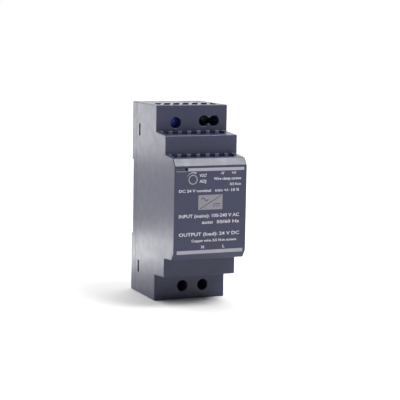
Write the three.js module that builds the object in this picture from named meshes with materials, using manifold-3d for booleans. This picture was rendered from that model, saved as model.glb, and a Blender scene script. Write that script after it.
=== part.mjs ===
// A two-module-wide switched-mode power supply for a 35 mm top-hat rail.
// Millimetres. +X is the right-hand side seen from the front, the front faces
// -Y and +Z is up. The origin is the middle of the rail seat: the plane the
// rail's lips lie against, on the rail's centre line.
import * as THREE from 'three';
import { mergeVertices } from 'three/addons/utils/BufferGeometryUtils.js';
import Module from 'manifold-3d';

const wasm = await Module();
wasm.setup();

// ---- ranges: [low, high] ------------------------------------------------
const around = (centre, half) => [centre - half, centre + half];
const middle = ([low, high]) => (low + high) / 2;
const extent = ([low, high]) => high - low;
const grow = ([low, high], by) => [low - by, high + by];
// the range itself for side 1, its mirror image about zero for side -1
const onSide = (side, [low, high]) => (side > 0 ? [low, high] : [-high, -low]);
const SIDES = [1, -1];

// ---- driving dimensions -------------------------------------------------
// Depths (_D) are measured back from the front face.
const WIDTH = 2 * 17.5;      // two modules
const HALF_WIDTH = WIDTH / 2;
const HALF_HEIGHT = 90 / 2;
const DEPTH = 54.5;          // front face to the back of the rail hooks
const SEAT_D = 51.8;         // plane the rail lies against
const RIM_D = 53.6;          // back rim of the base
const SEAM_D = 47.5;         // joint line between cover and base
const TIER1_D = 22.8;        // terminal tier front plane
const TIER2_D = 11.2;        // middle tier front plane
const LEDGE1_IN = 32.9;      // half height of ledge 1 at the terminal tier
const LEDGE1_OUT = 32.05;    // half height of ledge 1 at the middle tier
const LEDGE2_IN = 23.5;      // half height of ledge 2 at the middle tier
const LEDGE2_OUT = 22.75;    // half height of ledge 2 at the front chamfer
const CHAMFER_D = 2.5;
const CHAMFER_HEIGHT = 3.4;
const WALL = 1.5;
const INNER_X = around(0, HALF_WIDTH - WALL);
const NOTCH_HALF = 35 / 2 + 0.2;    // half the rail's width, with clearance
const HOOK_D = 53.05;        // face of the hooks behind the rail's lips

const VENT = {
  pitch: 4.6,
  width: 3.0,
  count: 7,
  slant: 0.45,               // sideways shift per mm of depth
  edge: 15.1,                // half width at which the rows are trimmed
};
// centredAt is the depth at which a slot's middle is at its place in the row
const VENT_ROWS = [
  { depths: [24.6, 37.6], centredAt: 31.1, heights: [HALF_HEIGHT - WALL - 1, HALF_HEIGHT + 1] },
  { depths: [15.0, TIER1_D], centredAt: 20.5, heights: [LEDGE1_OUT - WALL - 1.2, LEDGE1_IN + 1.5] },
  { depths: [4.8, TIER2_D], centredAt: 9.6, heights: [LEDGE2_OUT - WALL - 1.2, LEDGE2_IN + 1.5] },
];

const TRIMMER = { x: -8.1, z: 36.9, hole: 2.6, front: 27.3 };
// hole is the radius of the screwdriver holes; poles and body are x ranges
const PIN_PITCH = 2.54;
const OUTPUT = {
  side: 1, z: 37.6, hole: 2.47, poles: around(8.4, PIN_PITCH), body: around(8.4, 5.5),
};
const INPUT = {
  side: -1, z: -38.7, hole: 2.55, poles: around(1.5, 2 * PIN_PITCH), body: around(1.5, 8.1),
};
const GUIDE_D = [TIER1_D + 0.8, 33.2];      // screwdriver guide tubes
const PORT_D = [42.0, 45.3];                // wire entries
const INDICATOR = { recessX: [-16.7, -11.3], recessZ: [17.5, 18.8] };
const LATCH_Z = [29.5, 35.2];
const LATCH_D = [43.1, 44.8];
const CLIP_HALF = 6.75;
const CLIP_NECK = 4.9;       // half width of the clip behind the retaining lips
const BOARD_D = [46.6, 48.2];
const BASE_D = BOARD_D[0] - 0.2;            // back of parts that stand on the board
const LEAD_END = BOARD_D[1] + 0.7;          // leads stand out behind the board

// color, roughness, metalness
const FINISH = {
  cover: [0x53566a, 0.42, 0],
  base: [0x4a4d5e, 0.5, 0],
  clip: [0x23252b, 0.5, 0],
  spring: [0xb8bcc0, 0.3, 1],
  lightPipe: [0xcfe8d6, 0.15, 0],
  led: [0xf1f3e8, 0.3, 0],
  board: [0x1f5a38, 0.45, 0],
  header: [0x17181a, 0.5, 0],
  chip: [0x191a1c, 0.5, 0],
  trimmer: [0x15307a, 0.35, 0],
  rotor: [0x20242c, 0.35, 0],
  terminal: [0x1c1d20, 0.45, 0],
  screw: [0x55565a, 0.45, 1],
  cage: [0xb9b28e, 0.35, 1],
  contact: [0xd3c27a, 0.3, 1],
  fuse: [0x2b2b30, 0.4, 0],
  varistor: [0x2a56a8, 0.4, 0],
  thermistor: [0x2c3a34, 0.5, 0],
  filterCapacitor: [0xd9b13a, 0.4, 0],
  chokeCore: [0x2f5d3a, 0.5, 0],
  copper: [0xa8562a, 0.35, 0.6],
  semiconductor: [0x1b1c1f, 0.45, 0],
  bulkCapacitor: [0x232a3c, 0.35, 0.1],
  supplyCapacitor: [0x22262e, 0.35, 0.1],
  heatsink: [0xb4b8bd, 0.4, 1],
  yCapacitor: [0x2f62b0, 0.4, 0],
  ferrite: [0x2a2a2c, 0.6, 0],
  bobbin: [0x26272b, 0.5, 0],
  winding: [0xd8b02e, 0.4, 0],
  optocoupler: [0x1d1e20, 0.5, 0],
  snubber: [0x9b3b32, 0.4, 0],
  outputCapacitor: [0x23382c, 0.35, 0.1],
  inductor: [0x3a3a3e, 0.5, 0],
  barrier: [0xd9d7cc, 0.5, 0],
};

// ---- helpers ------------------------------------------------------------
const depthToY = (depth) => depth - SEAT_D;

function toSolid(geometry) {
  // only positions may count when vertices are merged
  geometry.deleteAttribute('normal');
  geometry.deleteAttribute('uv');
  const merged = mergeVertices(geometry, 1e-5);
  return new wasm.Manifold(new wasm.Mesh({
    numProp: 3,
    vertProperties: Float32Array.from(merged.attributes.position.array),
    triVerts: Uint32Array.from(merged.index.array),
  }));
}

const placed = (geometry, x, depth, z) => toSolid(geometry.translate(x, depthToY(depth), z));

function box(xs, depths, zs) {
  const geometry = new THREE.BoxGeometry(extent(xs), extent(depths), extent(zs));
  return placed(geometry, middle(xs), middle(depths), middle(zs));
}

// cylinders along the depth, along x and along z
function cylinder(x, z, radius, depths, segments = 20) {
  const geometry = new THREE.CylinderGeometry(radius, radius, extent(depths), segments);
  return placed(geometry, x, middle(depths), z);
}
function cylinderX(xs, depth, z, radius, segments) {
  const geometry = new THREE.CylinderGeometry(radius, radius, extent(xs), segments);
  return placed(geometry.rotateZ(Math.PI / 2), middle(xs), depth, z);
}
function cylinderZ(x, depth, zs, radius, segments) {
  const geometry = new THREE.CylinderGeometry(radius, radius, extent(zs), segments);
  return placed(geometry.rotateX(Math.PI / 2), x, depth, middle(zs));
}

// outline in (depth, z), extruded along x
function profile(points, xs) {
  const shape = new THREE.Shape(points.map(([depth, z]) => new THREE.Vector2(depthToY(depth), z)));
  const geometry = new THREE.ExtrudeGeometry(shape, { depth: extent(xs), bevelEnabled: false });
  const axes = new THREE.Matrix4().makeBasis(
    new THREE.Vector3(0, 1, 0), new THREE.Vector3(0, 0, 1), new THREE.Vector3(1, 0, 0));
  return toSolid(geometry.applyMatrix4(axes.setPosition(xs[0], 0, 0)));
}

const join = (first, ...rest) => rest.reduce((a, b) => a.add(b), first);
const cut = (first, ...rest) => rest.reduce((a, b) => a.subtract(b), first);
// closes an upper half outline with its mirror image below
const mirrored = (points) => [...points, ...points.map(([depth, z]) => [depth, -z]).reverse()];

// Component leads at every crossing of xs and zs: thin pins from inside the
// component to behind the board. Their spots are kept for the board's holes.
const leadSpots = [];
function leads(xs, zs, start = 46, radius = 0.32) {
  return xs.flatMap((x) => zs.map((z) => {
    leadSpots.push({ x, z, radius });
    return cylinder(x, z, radius, [start, LEAD_END], 6);
  }));
}

const group = new THREE.Group();
function part(name, solid, [color, roughness, metalness]) {
  const { vertProperties, triVerts } = solid.getMesh();
  const geometry = new THREE.BufferGeometry();
  geometry.setAttribute('position',
    new THREE.BufferAttribute(Float32Array.from(vertProperties), 3));
  geometry.setIndex(new THREE.BufferAttribute(Uint32Array.from(triVerts), 1));
  geometry.computeVertexNormals();
  const material = new THREE.MeshStandardMaterial({ color, roughness, metalness });
  const mesh = new THREE.Mesh(geometry, material);
  mesh.name = name;
  group.add(mesh);
}

// ---- front cover --------------------------------------------------------
function coverShell() {
  const outer = mirrored([
    [SEAM_D, HALF_HEIGHT],
    [TIER1_D, HALF_HEIGHT],
    [TIER1_D, LEDGE1_IN],
    [TIER2_D, LEDGE1_OUT],
    [TIER2_D, LEDGE2_IN],
    [CHAMFER_D, LEDGE2_OUT],
    [0, LEDGE2_OUT - CHAMFER_HEIGHT],
  ]);
  const inner = mirrored([
    [SEAM_D + 1, HALF_HEIGHT - WALL],
    [TIER1_D + WALL, HALF_HEIGHT - WALL],
    [TIER1_D + WALL, LEDGE1_IN - WALL],
    [TIER2_D + WALL, LEDGE1_OUT - WALL],
    [TIER2_D + WALL, LEDGE2_IN - WALL],
    [CHAMFER_D + 0.7, LEDGE2_OUT - WALL],
    [WALL, LEDGE2_OUT - CHAMFER_HEIGHT - 0.4],
  ]);
  return cut(profile(outer, around(0, HALF_WIDTH)), profile(inner, INNER_X));
}

// slot whose sides slant in the plane of x and depth
function slantedSlot(x, { depths: [front, back], centredAt }, zs) {
  const corner = (depth, side) => new THREE.Vector2(
    x + (depth - centredAt) * VENT.slant + side * VENT.width / 2, depthToY(depth));
  const shape = new THREE.Shape(
    [corner(front, -1), corner(front, 1), corner(back, 1), corner(back, -1)]);
  const geometry = new THREE.ExtrudeGeometry(shape, { depth: extent(zs), bevelEnabled: false });
  return toSolid(geometry.translate(0, 0, zs[0]));
}

// slots through the end faces and both ledges, top and bottom
function ventSlots() {
  const slots = [];
  for (const side of SIDES) {
    for (const row of VENT_ROWS) {
      for (let i = 0; i < VENT.count; i++) {
        const x = (i - (VENT.count - 1) / 2) * VENT.pitch;
        slots.push(slantedSlot(x, row, onSide(side, row.heights)));
      }
    }
  }
  const trim = box(around(0, VENT.edge), [0, DEPTH], around(0, HALF_HEIGHT + 5));
  return join(...slots).intersect(trim);
}

function frontCover() {
  // guide tubes that lead a screwdriver to the terminal screws, and a collar
  // that leads a small one to the trimmer
  const guides = [
    box(grow(OUTPUT.poles, 3.4), GUIDE_D, around(OUTPUT.z, 3.4)),
    ...INPUT.poles.map((x) => cylinder(x, INPUT.z, INPUT.hole + 1.0, GUIDE_D)),
    cylinder(TRIMMER.x, TRIMMER.z, TRIMMER.hole + 0.6, [GUIDE_D[0], TRIMMER.front - 0.5], 24),
  ];

  const bore = [TIER1_D - 1, GUIDE_D[1] + 1];
  const holes = [
    box(OUTPUT.poles, bore, around(OUTPUT.z, 1.3)),   // joins the two output holes
    cylinder(TRIMMER.x, TRIMMER.z, TRIMMER.hole, [bore[0], TRIMMER.front], 24),
    ventSlots(),
    // indicator window: a shallow recess with an opening behind it
    box(INDICATOR.recessX, [-1, 0.6], INDICATOR.recessZ),
    box([-15.75, -11.4], [-1, WALL + 1], [17.55, 18.75]),
  ];
  for (const { poles, side, z, hole } of [OUTPUT, INPUT]) {
    const throughEnd = onSide(side, [HALF_HEIGHT - WALL - 1, HALF_HEIGHT + 1]);
    for (const x of poles) {
      holes.push(cylinder(x, z, hole, bore, 24));
      holes.push(box(around(x, 1.9), PORT_D, throughEnd));
    }
    for (const sideX of SIDES) {
      const throughWall = onSide(sideX, [HALF_WIDTH - WALL - 1, HALF_WIDTH + 1]);
      holes.push(box(throughWall, LATCH_D, onSide(side, LATCH_Z)));
    }
  }
  return cut(join(coverShell(), ...guides), ...holes);
}
part('front_cover', frontCover(), FINISH.cover);

// ---- rear base ----------------------------------------------------------
// tray with the rail notch right across its back
function baseTray() {
  const across = around(0, HALF_WIDTH + 1);
  const tray = cut(box(around(0, HALF_WIDTH), [SEAM_D, RIM_D], around(0, HALF_HEIGHT)),
    box(INNER_X, [SEAM_D - 1, SEAT_D - WALL], around(0, NOTCH_HALF + WALL)),
    box(across, [SEAT_D, RIM_D + 1], around(0, NOTCH_HALF)));
  return cut(tray, ...SIDES.flatMap((side) => [
    // hollow above or below the notch
    box(INNER_X, [SEAM_D - 1, RIM_D - WALL],
      onSide(side, [NOTCH_HALF + WALL, HALF_HEIGHT - WALL])),
    // relief line in the seat, just inside the rail's lip
    box(across, [SEAT_D - 0.3, RIM_D], onSide(side, [15.05, 15.45])),
  ]));
}

function upperHook() {
  return profile([
    [HOOK_D, 16.4], [HOOK_D + 0.5, 15.9], [DEPTH, 15.9],
    [DEPTH, 21.4], [RIM_D, 22.4], [HOOK_D, 22.4],
  ], around(0, 13));
}

// latch arm with the bump that snaps into the cover, and two board posts
function latchAndPosts(sideX, sideZ) {
  const zs = onSide(sideZ, grow(LATCH_Z, -0.15));
  const postD = [BOARD_D[1] + 0.1, RIM_D - 1];
  return [
    box(onSide(sideX, [14.4, 15.75]), [42.6, RIM_D - 1], zs),
    box(onSide(sideX, [14.4, HALF_WIDTH - 0.5]), [48.3, RIM_D - 1], zs),
    box(onSide(sideX, [15.0, 16.6]), grow(LATCH_D, -0.15), zs),
    ...[40.2, 21.6].map((z) => cylinder(sideX * 13.2, sideZ * z, 1.6, postD, 10)),
  ];
}

function rearBase() {
  const channelZ = [-HALF_HEIGHT - 1, -NOTCH_HALF];
  const base = cut(
    join(baseTray(), upperHook(),
      box(around(0, 8.6), [49.4, RIM_D], [-HALF_HEIGHT, -NOTCH_HALF])),
    // clip channel between retaining lips
    box(around(0, CLIP_HALF + 0.3), [51.15, 52.95], channelZ),
    box(around(0, CLIP_NECK + 0.3), [51.15, RIM_D + 1], channelZ),
    // spring pocket
    box(around(0, 1.7), [50.6, 52.0], [-38.9, -23.0]));
  const springPost = box(around(0, 1.5), [50.0, 53.0], [-38.2, -36.8]);
  return join(base, springPost,
    ...SIDES.flatMap((sideZ) => SIDES.flatMap((sideX) => latchAndPosts(sideX, sideZ))));
}
part('rear_base', rearBase(), FINISH.base);

// ---- rail clip and its spring -------------------------------------------
function railClip() {
  const front = 51.4, bottom = -44.8, top = -18.1;
  const flanges = box(around(0, CLIP_HALF), [front, 52.7], [bottom, top]);
  const hookedNeck = profile([
    [front, bottom], [53.4, bottom], [53.4, -24.2], [DEPTH, -22.4],
    [DEPTH, -17.7], [HOOK_D, -16.1], [HOOK_D, top], [front, top],
  ], around(0, CLIP_NECK));
  return cut(join(flanges, hookedNeck),
    box(around(0, 1.85), [50, 55], [-38.6, -24.0]),    // spring window
    box(around(0, 3.3), [50, 55], [-43.3, -41.5]));    // slot near the bottom end
}
part('din_clip', railClip(), FINISH.clip);

// compression spring in the clip's window, between the post and the clip
const SPRING = {
  z: [-36.5, -24.3], depth: 52.05, coilRadius: 1.0, turns: 8,
  wireRadius: 0.2, wireSides: 5, stepsPerTurn: 10,
};
class SpringPath extends THREE.Curve {
  getPoint(t, target = new THREE.Vector3()) {
    const angle = t * SPRING.turns * Math.PI * 2;
    return target.set(
      SPRING.coilRadius * Math.cos(angle),
      depthToY(SPRING.depth) + SPRING.coilRadius * Math.sin(angle),
      SPRING.z[0] + extent(SPRING.z) * t);
  }
}
function clipSpring() {
  const { wireRadius, wireSides, turns, stepsPerTurn } = SPRING;
  const section = new THREE.Shape(Array.from({ length: wireSides }, (_, i) => {
    const angle = i * 2 * Math.PI / wireSides;
    return new THREE.Vector2(wireRadius * Math.cos(angle), wireRadius * Math.sin(angle));
  }));
  return toSolid(new THREE.ExtrudeGeometry(section, {
    steps: turns * stepsPerTurn, extrudePath: new SpringPath(), bevelEnabled: false,
  }));
}
part('clip_spring', clipSpring(), FINISH.spring);

// ---- indicator: light pipe and LED --------------------------------------
part('indicator_light_pipe', join(
  box(grow(INDICATOR.recessX, -0.1), [0.15, 0.5], grow(INDICATOR.recessZ, -0.1)),
  box([-15.6, -11.5], [0.15, 7.0], [17.65, 18.65])), FINISH.lightPipe);
part('indicator_led', join(
  box([-14.9, -13.1], [7.7, 8.7], [17.4, 18.9]),
  box([-14.6, -13.5], [7.3, 7.9], [17.6, 18.7])), FINISH.led);

// ---- control board, upright beside the left wall ------------------------
part('control_board', profile([
  [46.4, -4], [46.4, 42], [25.0, 42], [25.0, 30.0],
  [13.3, 30.0], [13.3, 20.2], [7.4, 20.2], [7.4, -4],
], [-13.0, -11.4]), FINISH.board);
part('control_board_header', join(
  box([-11.3, -8.9], [43.8, 46.3], [22.6, 33.2]),
  ...leads([-10.1], [0, 1, 2, 3].map((i) => 24.1 + i * PIN_PITCH), 45)), FINISH.header);
part('regulator_chip', join(
  box([-14.7, -13.4], [28.0, 33.0], [3.0, 7.0]),
  ...[28.6, 29.87, 31.14, 32.4].map((depth) => (
    box([-13.9, -13.1], around(depth, 0.2), [2.2, 7.8])))), FINISH.chip);

// ---- voltage trimmer ----------------------------------------------------
function trimmerBody({ x, z, front }) {
  return cut(box(around(x, 3.2), [front, front + 4.7], around(z, 3.2)),
    cylinder(x, z, 2.5, [front - 1.3, front + 2.1], 24));
}
function trimmerRotor({ x, z, front }) {
  const slotD = [front - 0.8, front + 0.4];
  const rotor = join(cylinder(x, z, 2.25, [front - 0.3, front + 1.3], 24),
    cylinder(x, z, 1.1, [front + 1.2, front + 1.8], 12));
  // T-shaped screwdriver slot
  return cut(rotor, box(around(x, 1.7), slotD, around(z, 0.35)),
    box(around(x, 0.35), slotD, [z - 1.7, z + 0.1]));
}
part('trimmer_body', trimmerBody(TRIMMER), FINISH.trimmer);
part('trimmer_rotor', trimmerRotor(TRIMMER), FINISH.rotor);

// ---- clamp terminals ----------------------------------------------------
// In each pole a captive screw turns on the spot and draws a cage towards the
// front, which grips the wire against a fixed contact bar.
function terminalBody({ body, poles, side, z }) {
  return cut(box(body, [33.5, 46.5], onSide(side, [33.2, 43.2])), ...poles.flatMap((x) => [
    cylinder(x, z, 2.25, [33.0, 35.3]),                                 // screw head
    cylinder(x, z, 1.55, [33.0, 37.0], 14),                             // screw shank
    box(around(x, 2.15), [35.9, 46.1], onSide(side, [34.0, 44.0])),     // cage
    box(around(x, 0.8), [46.0, 47.0], onSide(side, [34.1, 35.1])),      // contact pin
  ]));
}
function terminalScrew(x, { z }) {
  const slotD = [33.0, 34.5];
  return cut(join(cylinder(x, z, 2.0, [33.7, 35.15]), cylinder(x, z, 1.2, [35.0, 41.1], 14)),
    box(around(x, 2.5), slotD, around(z, 0.3)),
    box(around(x, 0.3), slotD, around(z, 1.25)));
}
function terminalCage(x, { z, side }) {
  const fromAxis = (inward, outward) => (
    onSide(side, [Math.abs(z) - inward, Math.abs(z) + outward]));
  return cut(box(around(x, 1.95), [38.7, 45.9], fromAxis(2.4, 3.2)),
    box(around(x, 1.45), [40.0, 45.2], fromAxis(3.5, 4.5)),
    cylinder(x, z, 1.38, [38.0, 41.0], 14));
}
function terminalContact(x, { side }) {
  const pinZ = onSide(side, [34.3, 34.8]);
  leadSpots.push({ x, z: middle(pinZ), radius: 0.62 });
  return join(box(around(x, 1.2), [41.3, 42.0], onSide(side, [34.25, 42.6])),
    box(around(x, 1.2), [41.3, 45.8], onSide(side, [34.25, 34.85])),
    box(around(x, 0.5), [45.0, LEAD_END], pinZ));
}
function addTerminal(prefix, terminal, poleNames) {
  part(`${prefix}_terminal_body`, terminalBody(terminal), FINISH.terminal);
  poleNames.forEach((pole, i) => {
    const x = terminal.poles[i];
    part(`${prefix}_screw_${pole}`, terminalScrew(x, terminal), FINISH.screw);
    part(`${prefix}_cage_${pole}`, terminalCage(x, terminal), FINISH.cage);
    part(`${prefix}_contact_${pole}`, terminalContact(x, terminal), FINISH.contact);
  });
}
addTerminal('output', OUTPUT, ['negative', 'positive']);
addTerminal('input', INPUT, ['neutral', 'live']);

// ---- input side: protection and filter ----------------------------------
// disc standing on edge, flat faces up and down
function uprightDisc(x, depth, radius, zs, leadOffset) {
  return join(cylinderZ(x, depth, zs, radius, 20),
    ...leads(around(x, leadOffset), [middle(zs)], 43));
}
part('input_fuse', join(cylinder(-9.7, -29.0, 4.1, [38.2, BASE_D]),
  ...leads([-9.7], around(-29.0, 2.5))), FINISH.fuse);
part('varistor', uprightDisc(-0.4, 40.6, 4.8, [-33.0, -29.6], 2.4), FINISH.varistor);
part('inrush_thermistor', uprightDisc(10.2, 41.2, 4.3, [-33.0, -29.8], 2.2), FINISH.thermistor);
part('filter_capacitor', join(box([-3.4, 14.0], [33.8, BASE_D], [-28.8, -22.6]),
  ...leads([-1.2, 11.8], [-25.7])), FINISH.filterCapacitor);

// common-mode choke: a ring core with one winding on each half
const CHOKE = { x: -8.0, z: -13.6, depths: [40.2, 45.2], outer: 6.2, inner: 3.4 };
// the core's ring, grown on every face by a margin
function chokeRing(margin, boreSegments) {
  const { x, z, depths, outer, inner } = CHOKE;
  return cut(cylinder(x, z, outer + margin, grow(depths, margin), 28),
    cylinder(x, z, inner - margin, grow(depths, margin + 1), boreSegments));
}
function chokeWinding(side) {
  const { x, z, depths } = CHOKE;
  const otherHalf = onSide(side, [-9, 1.1]).map((offset) => z + offset);
  const winding = cut(chokeRing(0.8, 20), chokeRing(0.2, 24),
    box(around(x, 9), grow(depths, 3), otherHalf));
  return join(winding, ...leads(around(x, 3.4), [z + side * 5.3], 45.6));
}
part('choke_core', chokeRing(0, 24), FINISH.chokeCore);
part('choke_winding_a', chokeWinding(1), FINISH.copper);
part('choke_winding_b', chokeWinding(-1), FINISH.copper);

part('bridge_rectifier', join(box([11.4, 15.0], [35.0, 45.4], [-19.0, -5.8]),
  ...leads([13.2], [-17.6, -14.2, -10.8, -7.4], 45)), FINISH.semiconductor);

function radialCapacitor(x, z, radius, front) {
  return join(cylinder(x, z, radius, [front, BASE_D], 24),
    ...leads(around(x, radius * 0.45), [z]));
}
part('bulk_capacitor_a', radialCapacitor(4.9, -15.6, 5.0, 24.0), FINISH.bulkCapacitor);
part('bulk_capacitor_b', radialCapacitor(3.2, -4.6, 5.0, 24.0), FINISH.bulkCapacitor);
part('supply_capacitor', radialCapacitor(-8.5, -3.5, 2.4, 36.0), FINISH.supplyCapacitor);

// ---- switching stage ----------------------------------------------------
// three-lead package with a drilled tab in front of its body
function tabPackage({ left, front, z, halfHeight, holeDepth }) {
  const zs = around(z, halfHeight);
  const body = join(box([left, 13.3], [front, 43.0], zs),
    box([12.1, 13.3], [front - 6, front + 0.5], zs));
  return join(cut(body, cylinderX([8, 14], holeDepth, z, 1.7, 14)),
    ...leads([10.6], [z - PIN_PITCH, z, z + PIN_PITCH], 42.5));
}
// upright plate beside the right wall
function heatsink(front, zs, leadZs) {
  return join(box([13.5, 15.0], [front, BASE_D], zs), ...leads([14.2], leadZs, 46, 0.5));
}
part('switching_transistor', tabPackage({
  left: 9.4, front: 34.5, z: 0.4, halfHeight: 5.0, holeDepth: 31.4,
}), FINISH.semiconductor);
part('primary_heatsink', heatsink(16.0, [-5.2, 21.0], [-1.0, 17.0]), FINISH.heatsink);
part('y_capacitor', join(cylinderX([-10.8, -7.8], 41.6, 3.2, 3.9, 20),
  ...leads([-9.3], around(3.2, 2), 44)), FINISH.yCapacitor);

// transformer: two E halves round a bobbin whose axis runs front to back
const TRANSFORMER = { x: 1.4, z: 15.0 };
const CORE_YOKE = 3.2;       // thickness of the bar that joins an E's legs
const BOBBIN_D = [22.5, 36.1];
function coreHalf(depths, windowDepths) {
  const { x, z } = TRANSFORMER;
  return cut(box(around(x, 10), depths, around(z, 3)),
    box([x - 7.4, x - 3], windowDepths, around(z, 4)),
    box([x + 3, x + 7.4], windowDepths, around(z, 4)));
}
function transformerBobbin() {
  const { x, z } = TRANSFORMER;
  const [front, back] = BOBBIN_D;
  const flangeX = around(x, 7.1);
  const flangeZ = around(z, 8.2);
  const bobbin = join(
    box(around(x, 4), BOBBIN_D, around(z, 4)),
    box(flangeX, [front, front + 0.9], flangeZ),
    box(flangeX, [back - 0.9, back], flangeZ),
    box(flangeX, [back - 0.9, BASE_D], [z - 8.2, z - 4.2]),
    box(flangeX, [back - 0.9, BASE_D], [z + 4.2, z + 8.2]));
  return join(cut(bobbin, box(around(x, 3.2), [20, 40], around(z, 3.2))),
    ...leads([-5, -1.67, 1.67, 5].map((offset) => x + offset), around(z, 6.2), 45.5));
}
function transformerWinding() {
  const { x, z } = TRANSFORMER;
  return cut(box(around(x, 6.9), [23.6, 35.0], around(z, 7.6)),
    box(around(x, 4.15), [22, 37], around(z, 4.15)));
}
part('transformer_core_front', coreHalf([19.0, 29.2], [19.0 + CORE_YOKE, 30.2]), FINISH.ferrite);
part('transformer_core_rear', coreHalf([29.4, 39.6], [28.4, 39.6 - CORE_YOKE]), FINISH.ferrite);
part('transformer_bobbin', transformerBobbin(), FINISH.bobbin);
part('transformer_winding', transformerWinding(), FINISH.winding);

part('optocoupler', join(box([-10.7, -6.3], [42.4, 46.0], [8.0, 14.4]),
  ...leads([-9.8, -7.2], [9.9, 12.4], 45)), FINISH.optocoupler);
part('snubber_capacitor', join(box([-10.8, -6.6], [40.6, BASE_D], [15.4, 21.6]),
  ...leads([-8.7], [16.6, 20.4])), FINISH.snubber);

// ---- output side --------------------------------------------------------
part('output_rectifier', tabPackage({
  left: 9.2, front: 34.0, z: 28.0, halfHeight: 4.6, holeDepth: 31.0,
}), FINISH.semiconductor);
part('output_heatsink', heatsink(25.2, [22.6, 29.0], [25.8]), FINISH.heatsink);
part('output_capacitor_a', radialCapacitor(4.7, 28.2, 4.0, 27.0), FINISH.outputCapacitor);
part('output_capacitor_b', radialCapacitor(-3.8, 28.2, 4.0, 27.0), FINISH.outputCapacitor);
part('output_capacitor_c', radialCapacitor(-0.3, 37.6, 2.6, 34.0), FINISH.outputCapacitor);

// drum with a flange at each end
function outputInductor(x, z) {
  return join(cylinder(x, z, 3.3, [37.6, 38.6]), cylinder(x, z, 3.3, [45.2, BASE_D]),
    cylinder(x, z, 2.8, [38.4, 45.4]), ...leads(around(x, 1.8), [z]));
}
part('output_inductor', outputInductor(-7.0, 38.4), FINISH.inductor);

// ---- main board and barrier ---------------------------------------------
// comes after every part with leads, as it is drilled at their spots
function mainBoard() {
  const latchNotches = SIDES.flatMap((sideZ) => SIDES.map((sideX) => (
    box(onSide(sideX, [14.05, 17]), [45, 50], onSide(sideZ, grow(LATCH_Z, 0.2))))));
  const leadHoles = leadSpots.map(({ x, z, radius }) => (
    cylinder(x, z, radius + 0.2, [46, 49], 6)));
  return cut(box(around(0, 15.6), BOARD_D, around(0, 42.9)), ...latchNotches, ...leadHoles);
}
part('main_board', mainBoard(), FINISH.board);
part('insulating_barrier', box([15.35, 15.75], [5.0, BASE_D], around(0, 20.5)), FINISH.barrier);

export default group;
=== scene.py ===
# A narrow DIN-rail power supply with 24 V DC output: stepped front cover, rear base with a rail
# clip, clamp terminals, trimmer, and the parts on its boards.
# It stands upright: +x is right as seen from the front, +y runs back to the rail, +z is up.
import math

import bmesh
import bpy
from mathutils import Matrix, Vector


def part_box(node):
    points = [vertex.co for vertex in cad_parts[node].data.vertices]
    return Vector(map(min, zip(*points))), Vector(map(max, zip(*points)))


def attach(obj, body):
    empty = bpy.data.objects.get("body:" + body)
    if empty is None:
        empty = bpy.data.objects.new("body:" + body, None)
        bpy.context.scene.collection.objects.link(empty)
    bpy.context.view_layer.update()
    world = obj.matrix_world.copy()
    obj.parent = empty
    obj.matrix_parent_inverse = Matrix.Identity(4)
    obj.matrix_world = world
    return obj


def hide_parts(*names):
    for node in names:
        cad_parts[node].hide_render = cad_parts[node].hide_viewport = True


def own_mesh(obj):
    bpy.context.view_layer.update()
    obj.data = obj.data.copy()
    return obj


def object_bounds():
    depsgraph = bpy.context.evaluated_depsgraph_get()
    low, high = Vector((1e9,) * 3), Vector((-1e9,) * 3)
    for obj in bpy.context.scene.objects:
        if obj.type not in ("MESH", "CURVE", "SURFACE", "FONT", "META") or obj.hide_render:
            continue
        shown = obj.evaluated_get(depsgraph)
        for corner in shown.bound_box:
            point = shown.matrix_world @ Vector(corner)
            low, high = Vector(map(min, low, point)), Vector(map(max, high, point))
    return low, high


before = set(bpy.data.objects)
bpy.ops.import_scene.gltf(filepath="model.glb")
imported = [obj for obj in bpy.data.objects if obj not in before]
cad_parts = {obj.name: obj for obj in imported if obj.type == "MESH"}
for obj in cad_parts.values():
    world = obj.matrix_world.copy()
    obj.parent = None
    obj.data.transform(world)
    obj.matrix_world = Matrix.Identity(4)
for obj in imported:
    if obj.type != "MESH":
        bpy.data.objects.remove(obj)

cad_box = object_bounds()
scene = bpy.context.scene
TAU = math.tau

# Sizes are in mm. A depth is measured back (+y) from the front face.
MM = 0.001
cover_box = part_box("front_cover")
FRONT = cover_box[0].y / MM      # y of the front face
HALF_H = cover_box[1].z / MM
HALF_W = cover_box[1].x / MM
WALL = 1.5
SEAM = 47.5                      # depth where cover and base meet

# Stepped profile of the cover: step faces look forward, ledges look up or down and lean a little
STEP1 = 22.8                     # depth of the rear step face, with the screw holes
STEP2 = 11.2                     # depth of the front step face
LEDGE1_BACK, LEDGE1_FRONT = 32.9, 32.05    # height of the rear ledge at its back and front
LEDGE2_BACK, LEDGE2_FRONT = 23.5, 22.75    # the same for the front ledge
CHAMFER_DEPTH, CHAMFER_HEIGHT = 2.5, 3.4

VENT_PITCH, VENT_COUNT = 4.6, 7
VENT_HALF = 1.5                  # half width of a vent slot
VENT_SLANT = 0.45                # sideways shift per unit of depth
VENT_EDGE = 15.1                 # half width of the vent field

# Screw holes of the output (top) and input (bottom) terminals, and the trimmer hole
OUT_X, OUT_Z, OUT_RADIUS = (5.86, 10.94), 37.6, 2.47
IN_X, IN_Z, IN_RADIUS = (-3.58, 6.58), -38.7, 2.55
OUT_MID, OUT_HALF = sum(OUT_X) / 2, (OUT_X[1] - OUT_X[0]) / 2
TUBE_END = 33.2                  # depth where the screw guide tubes end
TRIM_X, TRIM_Z, TRIM_RADIUS = -8.1, 36.9, 2.6
TRIM_DEPTH, TRIM_HALF = 27.3, 3.2          # front of the trimmer case, half its side

# Depths on the rear base
SEAT = 51.8                      # floor of the rail notch
RIM = 53.6                       # back of the base
DEEP = 54.5                      # back of the rail hook and the clip
HOOK = 53.05                     # front of the hook lip
NOTCH = 17.7                     # half height of the rail notch


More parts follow.
